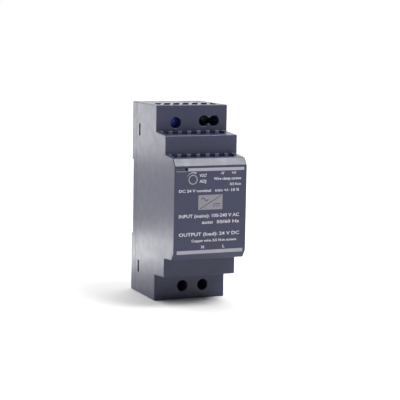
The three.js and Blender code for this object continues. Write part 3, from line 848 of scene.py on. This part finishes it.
def build_trimmer():
    ob = solid_from(soft_box(TRIM_X - TRIM_HALF, TRIM_X + TRIM_HALF, TRIM_DEPTH,
                             TRIM_DEPTH + 4.7, TRIM_Z - TRIM_HALF, TRIM_Z + TRIM_HALF, 0.25))
    # rotor well and index notch
    cut(ob, flared_circle(TRIM_X, TRIM_Z, 2.5, 48, surface=TRIM_DEPTH, mouth=0.15, depth=2.1),
        box(TRIM_X - 0.2, TRIM_X + 0.2, TRIM_DEPTH - 0.3, TRIM_DEPTH + 0.2,
            TRIM_Z + 2.6, TRIM_Z + 3.4))
    return tidy(ob)


def build_rotor():
    front = TRIM_DEPTH - 0.3
    profile = [(0, front), (2.05, front), (2.17, front + 0.05), (2.25, front + 0.2),
               (2.25, front + 1.6), (1.1, front + 1.6), (1.1, front + 2.1), (0, front + 2.1)]
    ob = solid_from(revolve(profile, TRIM_X, TRIM_Z, 48))
    # driver slot with one arm pointing down
    cut(ob, box(TRIM_X - 1.7, TRIM_X + 1.7, front - 0.5, front + 0.7,
                TRIM_Z - 0.35, TRIM_Z + 0.35),
        box(TRIM_X - 0.35, TRIM_X + 0.35, front - 0.5, front + 0.7, TRIM_Z - 1.7, TRIM_Z + 0.1))
    return tidy(ob)


piece(build_light_guide(), "indicator_light_guide", "light_pipe", "indicator_light_pipe")
piece(build_trimmer(), "trimmer_case", "trimmer_blue", "trimmer_body")
piece(build_rotor(), "trimmer_slot_rotor", "trimmer_rotor_plastic", "trimmer_rotor",
      body="voltage_rotor")


# --------------------------------------------------------------------------
# printing on the front
# --------------------------------------------------------------------------
INK = 0.03                       # thickness of the print
DIAL_X, DIAL_Z = -8.7, 13.5


def flat_print(outline, lift=0.0, thickness=INK):
    return solid_from(prism(outline, -lift - thickness, -lift))


def printed_text(body, x0, x1, z, size):
    """Raised text stretched so that its ink runs from x0 to x1."""
    curve = bpy.data.curves.new("text", "FONT")
    curve.body = body
    curve.size = size * MM
    curve.align_x = "LEFT"
    curve.align_y = "CENTER"
    curve.resolution_u = 3
    curve.extrude = INK * MM / 2
    curve.offset = 0.035 * MM                # thickens the strokes
    source = linked(curve, "text")
    source.matrix_world = (Matrix.Translation(point(0, -INK / 2, z))
                           @ Matrix.Rotation(math.radians(90), 4, "X"))
    bpy.context.view_layer.update()
    mesh = evaluated_mesh(source)
    mesh.transform(source.matrix_world)
    bpy.data.objects.remove(source)
    bm = bmesh.new()
    bm.from_mesh(mesh)
    bmesh.ops.remove_doubles(bm, verts=bm.verts, dist=1e-7)
    bm.to_mesh(mesh)
    bm.free()
    xs = [v.co.x / MM for v in mesh.vertices]
    left = min(xs)
    stretch = (x1 - x0) / (max(xs) - left)
    for v in mesh.vertices:
        v.co.x = (x0 + (v.co.x / MM - left) * stretch) * MM
    return linked(mesh, "text")


def dial_ring():
    ring = flat_print(circle(DIAL_X, DIAL_Z, 2.15, 64))
    cut(ring, prism(circle(DIAL_X, DIAL_Z, 1.78, 64), -1, 1))
    return ring


def dial_arc():
    """An arc above the dial that swells clockwise."""
    outer, inner = [], []
    for k in range(25):
        angle = math.radians(152 - 92 * k / 24)
        swell = 0.08 + 0.42 * (k / 24) ** 1.2
        for edge, radius in ((outer, 3.05 + swell), (inner, 3.05 - swell * 0.6)):
            edge.append((DIAL_X + radius * math.cos(angle), DIAL_Z + radius * math.sin(angle)))
    return flat_print(outer + inner[::-1])


def stroke(points, width):
    """A flat stroke along a polyline in (x, z), on top of the symbol plate."""
    left, right = [], []
    for i, (x, z) in enumerate(points):
        before = Vector(points[max(i - 1, 0)])
        after = Vector(points[min(i + 1, len(points) - 1)])
        along = (after - before).normalized()
        normal = Vector((-along.y, along.x)) * width / 2
        left.append((x + normal.x, z + normal.y))
        right.append((x - normal.x, z - normal.y))
    return flat_print(left + right[::-1], lift=INK, thickness=0.02)


# text, x from and to, z, size
WORDS = (
    ("VOLT", -5.6, -2.1, 15.2, 1.9),
    ("ADJ", -5.6, -2.4, 12.6, 1.9),
    ("-V", 4.5, 6.4, 16.0, 1.8),
    ("+V", 10.0, 12.2, 16.0, 1.8),
    ("Wire clamp screws", 1.3, 14.6, 13.6, 1.75),
    ("0.5 N-m", 9.2, 14.6, 11.0, 1.7),
    ("DC 24 V nominal   trim +/- 10 %", -15.3, 13.8, 8.4, 1.75),
    ("INPUT (mains): 100-240 V AC", -15.2, 14.0, -2.9, 2.1),
    ("auto  50/60 Hz", -4.1, 14.1, -5.8, 2.0),
    ("OUTPUT (load): 24 V DC", -15.1, 14.2, -11.1, 2.1),
    ("Copper wire, 0.5 N-m screws", -9.0, 12.8, -14.0, 1.6),
    ("N", -4.2, -2.9, -16.9, 1.9),
    ("L", 6.1, 7.1, -16.9, 1.9),
)
# centre x, z, half width, half height, corner radius; the third, thin bar, just under the
# indicator window, is a painted highlight of the window's lower lip
BARS_AND_LIP_HIGHLIGHT = ((2.5, 17.9, 13.6, 0.68, 0.1), (0.0, -19.0, 16.0, 0.78, 0.1),
        (-14.1, 17.15, 2.5, 0.1, 0.05))
# symbol: a diagonal, a wave above it, a long dash over three short ones; (points, width)
WAVE = [(-4.6 + 3.4 * k / 24, 4.55 + 0.62 * math.sin(TAU * k / 24)) for k in range(25)]
STROKES = (
    ([(-5.1, 0.35), (4.8, 6.05)], 0.35),
    (WAVE, 0.45),
    ([(1.2, 2.35), (4.6, 2.35)], 0.42),
    ([(1.2, 1.35), (1.95, 1.35)], 0.42),
    ([(2.5, 1.35), (3.3, 1.35)], 0.42),
    ([(3.85, 1.35), (4.6, 1.35)], 0.42),
)

marks = [flat_print(round_rect(*bar, 2)) for bar in BARS_AND_LIP_HIGHLIGHT] + [dial_ring(), dial_arc()]
words = [printed_text(*word) for word in WORDS]
# this piece holds the printed bars and dial marks, and the painted highlight bar under the
# indicator window
piece(merged(marks), "front_print_marks_and_lip_highlight", "cover_plastic", finish="print")
piece(merged(words), "front_print_text", "cover_plastic", finish="text")
piece(flat_print(round_rect(-0.15, 3.2, 5.85, 3.3, 0.15, 3)), "symbol_plate", "cover_plastic",
      finish="plate")
piece(merged([stroke(*line) for line in STROKES]), "symbol_strokes", "cover_plastic",
      finish="print_dark")


# --------------------------------------------------------------------------
# clamp terminals; side is +1 for the top row, -1 for the bottom row
# --------------------------------------------------------------------------
MOULD_FRONT = 33.5
SCREW_FRONT = 33.7


def build_terminal_body(xs, z, x0, x1, side):
    ob = solid_from(soft_box(x0, x1, MOULD_FRONT, 46.5, *span(side, 33.2, 43.2), 0.25))
    # for each pole: screw mouth, shank bore, cage chamber and contact slit
    for x in xs:
        cut(ob,
            flared_circle(x, z, 2.25, 40, surface=MOULD_FRONT, mouth=0.2, depth=1.8),
            prism(circle(x, z, 1.55, 32), 33.0, 37.0),
            prism(round_rect(x, side * 39.0, 2.15, 5.0, 0.15, 2), 35.9, 46.1),
            box(x - 0.8, x + 0.8, 46.0, 47.0, *span(side, 34.1, 35.1)))
    return tidy(ob)


def build_screw(x, z):
    """Pan head with a combined slot and cross, and ring grooves for the thread."""
    head = [(0, 0.02), (1.2, 0.02), (1.6, 0.08), (1.85, 0.24), (1.97, 0.5), (2.0, 0.8),
            (2.0, 1.3), (1.9, 1.45), (1.2, 1.45)]        # radius, depth behind the head front
    profile = [(radius, SCREW_FRONT + depth) for radius, depth in head]
    pitch, outer, root = 0.5, 1.2, 1.02
    depth = SCREW_FRONT + 1.75
    while depth + pitch < 41.0:
        profile += [(outer, depth), (root, depth + 0.14), (root, depth + 0.22),
                    (outer, depth + 0.36)]
        depth += pitch
    profile += [(outer, 40.85), (1.0, 41.1), (0, 41.1)]
    ob = solid_from(revolve(profile, x, z, 40))
    slot_floor = SCREW_FRONT + 0.8
    cut(ob, box(x - 2.5, x + 2.5, 33.0, slot_floor, z - 0.3, z + 0.3),
        box(x - 0.3, x + 0.3, 33.0, slot_floor, z - 1.25, z + 1.25))
    return tidy(ob, sharp=28)


def build_cage(x, z, side):
    reach = abs(z)
    ob = solid_from(soft_box(x - 1.95, x + 1.95, 38.7, 45.9,
                             *span(side, reach - 2.4, reach + 3.2), 0.16))
    # wire passage and screw hole
    cut(ob, prism(round_rect(x, 42.6, 1.45, 2.6, 0.25, 3),
                  *span(side, reach - 3.5, reach + 4.5), "z"),
        prism(circle(x, z, 1.38, 32), 38.0, 41.0))
    # gripping grooves across the floor of the cage
    for k in range(4):
        groove = side * (reach - 0.9 + k * 1.2)
        cut(ob, box(x - 1.3, x + 1.3, 45.1, 45.32, groove - 0.12, groove + 0.12))
    return tidy(ob)


def build_contact(x, side):
    """Bent strip with a pin at its back and grooves across its clamping face."""
    outer, inner = 42.6, 34.25               # distances from mid height
    strip = [(41.3, outer), (41.3, inner + 0.35), (41.65, inner), (45.8, inner),
             (45.8, inner + 0.6), (42.1, inner + 0.6), (42.0, inner + 0.7), (42.0, outer)]
    ob = solid_from(bevel(prism([(depth, side * z) for depth, z in strip],
                                x - 1.2, x + 1.2, "x"), 0.06, 2, angle=30))
    join(ob, box(x - 0.5, x + 0.5, 45.0, 48.9, *span(side, 34.3, 34.8)))
    for k in range(5):
        groove = side * (36.6 + k * 1.1)
        cut(ob, box(x - 1.3, x + 1.3, 41.88, 42.2, groove - 0.1, groove + 0.1))
    return tidy(ob)


# row, screw x, screw z, moulding x from and to, side, poles
for row, xs, z, x0, x1, side, poles in (
        ("output", OUT_X, OUT_Z, 2.9, 13.9, 1, ("negative", "positive")),
        ("input", IN_X, IN_Z, -6.6, 9.6, -1, ("neutral", "live"))):
    piece(build_terminal_body(xs, z, x0, x1, side), f"{row}_terminal_moulding",
          "terminal_plastic", f"{row}_terminal_body")
    for x, pole in zip(xs, poles):
        piece(build_screw(x, z), f"{row}_{pole}_clamp_screw", "screw_steel",
              f"{row}_screw_{pole}", body=f"{row}_{pole}_screw")
        piece(build_cage(x, z, side), f"{row}_{pole}_clamp_cage", "cage_brass",
              f"{row}_cage_{pole}", body=f"{row}_{pole}_cage")
        piece(build_contact(x, side), f"{row}_{pole}_contact_strip", "contact_brass",
              f"{row}_contact_{pole}")


# --------------------------------------------------------------------------
# the parts on the boards
# --------------------------------------------------------------------------
CHOKE_X, CHOKE_Z = -8.0, -13.6


def build_can(x, z, radius, front):
    """Electrolytic can: sleeve over the shoulder, scored top, groove near the rear end."""
    back = 46.4
    profile = [
        (0, front + 0.12), (radius - 0.95, front + 0.12), (radius - 0.85, front),
        (radius - 0.45, front), (radius - 0.12, front + 0.16), (radius, front + 0.5),
        (radius, back - 2.4), (radius - 0.12, back - 2.15), (radius - 0.32, back - 1.85),
        (radius - 0.12, back - 1.55), (radius, back - 1.3), (radius, back - 0.4),
        (radius - 0.3, back - 0.05), (radius - 0.8, back - 0.05), (radius - 0.9, back),
        (0, back)]
    ob = solid_from(revolve(profile, x, z, 56))
    score = radius - 1.2
    cut(ob, box(x - score, x + score, front - 1, front + 0.25, z - 0.09, z + 0.09),
        box(x - 0.09, x + 0.09, front - 1, front + 0.25, z - score, z + score))
    tidy(ob)
    lead = [(0, 46.2), (0.3, 46.2), (0.3, 48.9), (0, 48.9)]
    for side in (-1, 1):
        join(ob, revolve(lead, x + side * radius * 0.45, z, 12))
    return tidy(ob)


def build_choke_ring():
    profile = [(3.4, 40.6), (3.7, 40.2), (5.9, 40.2), (6.2, 40.6), (6.2, 44.8), (5.9, 45.2),
               (3.7, 45.2), (3.4, 44.8)]     # radius, depth; closed on itself
    count = 64
    bm = bmesh.new()
    rows = [[bm.verts.new(point(x, depth, z))
             for x, z in circle(CHOKE_X, CHOKE_Z, radius, count)]
            for radius, depth in profile]
    for low, high in zip(rows, rows[1:] + rows[:1]):
        for i in range(count):
            j = (i + 1) % count
            bm.faces.new((low[i], low[j], high[j], high[i]))
    return tidy(solid_from(bm), sharp=50)


def build_winding(side):
    """Half of the ring core's winding: one round wire laid turn beside turn."""
    turns, steps = 11, 22
    inner, outer, front, back = 3.0, 6.75, 39.85, 45.55
    start, end = math.radians(18), math.radians(162)
    points = []
    for i in range(turns * steps + 1):
        done = i / (turns * steps)
        around = (start + (end - start) * done) * side
        turn = TAU * turns * done
        # rounded-rectangular loop through the ring's bore
        cos, sin = math.cos(turn), math.sin(turn)
        square = max(abs(cos), abs(sin)) ** 0.75
        radius = (inner + outer) / 2 + (outer - inner) / 2 * cos / square * 0.98
        depth = (front + back) / 2 + (back - front) / 2 * sin / square * 0.98
        points.append(point(CHOKE_X + radius * math.cos(around), depth,
                            CHOKE_Z + radius * math.sin(around)))
    return tidy(solid_from(round_bar(points, 0.3, 8)), dissolve=0)


def build_edged(node, width):
    """A component made from its own CAD body, with softened convex edges."""
    bm = bmesh.new()
    bm.from_mesh(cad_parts[node].data)
    bmesh.ops.remove_doubles(bm, verts=bm.verts, dist=1e-6)
    bmesh.ops.dissolve_limit(bm, angle_limit=math.radians(1.0), verts=bm.verts, edges=bm.edges)
    bevel(bm, width, 2, angle=35.0, only=lambda edge: edge.is_convex, clamp=True)
    return tidy(solid_from(bm), dissolve=0)


# name, CAD node, slot, x, z, radius, front depth
for name, node, slot, *place in (
        ("bulk_can_a", "bulk_capacitor_a", "capacitor_sleeve", 4.9, -15.6, 5.0, 24.0),
        ("bulk_can_b", "bulk_capacitor_b", "capacitor_sleeve", 3.2, -4.6, 5.0, 24.0),
        ("supply_can", "supply_capacitor", "capacitor_sleeve", -8.5, -3.5, 2.4, 36.0),
        ("output_can_a", "output_capacitor_a", "output_capacitor_sleeve", 4.7, 28.2, 4.0, 27.0),
        ("output_can_b", "output_capacitor_b", "output_capacitor_sleeve", -3.8, 28.2, 4.0, 27.0),
        ("output_can_c", "output_capacitor_c", "output_capacitor_sleeve",
         -0.3, 37.6, 2.6, 34.0)):
    piece(build_can(*place), name, slot, node)

piece(build_choke_ring(), "choke_ring", "core_coating", "choke_core")
piece(build_winding(1), "choke_wire_a", "copper_wire", "choke_winding_a")
piece(build_winding(-1), "choke_wire_b", "copper_wire", "choke_winding_b")

# name, CAD node, slot, edge width
for name, node, slot, width in (
        ("led_package", "indicator_led", "led_body", 0.12),
        ("control_board_sheet", "control_board", "circuit_board", 0.06),
        ("board_header_strip", "control_board_header", "black_plastic", 0.10),
        ("regulator_package", "regulator_chip", "black_plastic", 0.10),
        ("fuse_barrel", "input_fuse", "black_plastic", 0.25),
        ("varistor_disc", "varistor", "disc_coating", 0.25),
        ("thermistor_disc", "inrush_thermistor", "thermistor_coating", 0.25),
        ("filter_box", "filter_capacitor", "film_yellow", 0.20),
        ("bridge_package", "bridge_rectifier", "black_plastic", 0.15),
        ("switch_package", "switching_transistor", "black_plastic", 0.12),
        ("primary_heatsink_plate", "primary_heatsink", "heatsink_aluminium", 0.12),
        ("safety_disc", "y_capacitor", "disc_coating", 0.25),
        ("core_half_front", "transformer_core_front", "ferrite", 0.20),
        ("core_half_rear", "transformer_core_rear", "ferrite", 0.20),
        ("bobbin_frame", "transformer_bobbin", "black_plastic", 0.10),
        ("winding_wrap", "transformer_winding", "transformer_tape", 0.30),
        ("coupler_package", "optocoupler", "black_plastic", 0.12),
        ("snubber_box", "snubber_capacitor", "film_red", 0.15),
        ("rectifier_package", "output_rectifier", "black_plastic", 0.12),
        ("output_heatsink_plate", "output_heatsink", "heatsink_aluminium", 0.12),
        ("inductor_drum", "output_inductor", "ferrite", 0.12),
        ("main_board_sheet", "main_board", "circuit_board", 0.06),
        ("barrier_sheet", "insulating_barrier", "barrier_film", 0.06)):
    piece(build_edged(node, width), name, slot, node)


# --------------------------------------------------------------------------
# floor, lights, world, camera (metres)
# --------------------------------------------------------------------------
def floor_material():
    """Pale matt floor that glows brighter away from the object."""
    shader = Shader("floor_pale")
    spots = shader.noise(30, detail=3.0, rough=0.5)
    shader.set("Base Color", shader.mix(shader.remap(spots, 0.0, 1.0),
                                        (0.86, 0.86, 0.86, 1), (0.88, 0.88, 0.88, 1)))
    shader.set("Roughness", 0.9)
    shader.set("Specular IOR Level", 0.1)
    distance = shader.add("ShaderNodeVectorMath", operation="LENGTH")
    shader.feed(distance.inputs[0], shader.coords)
    shader.set("Emission Color", (1, 1, 1, 1))
    shader.set("Emission Strength",
               shader.remap(distance.outputs["Value"], 0.0, 0.5, start=0.12, end=0.9))
    return shader.material


def build_floor(material):
    z = cad_box[0].z
    bm = bmesh.new()
    bm.faces.new([bm.verts.new((x, y, z)) for x, y in ((-6, -4), (6, -4), (6, 9), (-6, 9))])
    floor = solid_from(bm, "floor")
    floor.data.materials.append(material)


def softbox(name, location, target, width, height, radiance):
    light = bpy.data.lights.new(name, "AREA")
    light.shape = "RECTANGLE"
    light.size = width
    light.size_y = height
    light.energy = radiance * math.pi * width * height
    ob = bpy.data.objects.new(name, light)
    ob.location = location
    aim = Vector(target) - Vector(location)
    ob.rotation_euler = aim.to_track_quat("-Z", "Y").to_euler()
    ob.visible_camera = False
    scene.collection.objects.link(ob)


def build_world(backdrop, room):
    """White for the camera; for the object a bright backdrop behind and a dimmer room in front."""
    world = bpy.data.worlds.new("studio")
    world.use_nodes = True
    nodes, links = world.node_tree.nodes, world.node_tree.links
    background = nodes["Background"]
    coords = nodes.new("ShaderNodeTexCoord")
    split = nodes.new("ShaderNodeSeparateXYZ")
    ramp = nodes.new("ShaderNodeMapRange")
    ramp.name = "ramp"
    ramp.interpolation_type = "SMOOTHSTEP"
    ramp.inputs["From Min"].default_value = -0.25
    ramp.inputs["From Max"].default_value = 0.55
    ramp.inputs["To Min"].default_value = room
    ramp.inputs["To Max"].default_value = backdrop
    path = nodes.new("ShaderNodeLightPath")
    choice = nodes.new("ShaderNodeMix")
    links.new(coords.outputs["Generated"], split.inputs[0])
    links.new(split.outputs["Y"], ramp.inputs["Value"])
    links.new(path.outputs["Is Camera Ray"], choice.inputs[0])
    links.new(ramp.outputs["Result"], choice.inputs[2])
    choice.inputs[3].default_value = 1.0
    links.new(choice.outputs[0], background.inputs["Strength"])
    background.inputs["Color"].default_value = (1, 1, 1, 1)
    scene.world = world


def build_camera(yaw, pitch, roll, lens, location):
    """Looks from the left of the front and a little down; angles in radians."""
    cos, sin = math.cos(yaw), math.sin(yaw)
    yawed = Matrix(((cos, sin, 0), (-sin, cos, 0), (0, 0, 1)))
    cos, sin = math.cos(pitch), math.sin(pitch)
    pitched = Matrix(((1, 0, 0), (0, cos, sin), (0, -sin, cos)))
    cos, sin = math.cos(roll), math.sin(roll)
    rolled = Matrix(((cos, 0, sin), (0, 1, 0), (-sin, 0, cos)))
    right, forward, up = rolled @ pitched @ yawed
    camera = bpy.data.cameras.new("camera")
    camera.sensor_width = 36.0
    camera.lens = lens
    camera.clip_start = 0.05
    ob = linked(camera, "camera")
    rotation = Matrix((right, up, -forward)).transposed()
    ob.matrix_world = Matrix.Translation(location) @ rotation.to_4x4()
    scene.camera = ob


build_floor(floor_material())
softbox("overhead", (0.0, 0.30, 1.0), (0, 0, 0), width=1.0, height=1.0, radiance=0.9)
softbox("high_front_card", (0.36, -0.37, 0.76), (0, 0, 0), width=0.42, height=0.42,
        radiance=14.0)
softbox("side_card_upper", (-0.050, 0.057, 0.031), (-0.0175, -0.02, 0.031),
        width=0.07, height=0.036, radiance=2.1)
softbox("side_card_lower", (-0.050, 0.057, -0.037), (-0.0175, -0.02, -0.037),
        width=0.07, height=0.015, radiance=3.8)
build_world(backdrop=1.55, room=0.15)
scene.view_settings.view_transform = "Standard"
scene.view_settings.look = "None"
build_camera(yaw=-0.40677, pitch=-0.13325, roll=0.01774, lens=118.3752,
             location=point(-233.59, -530.135, 81.721))
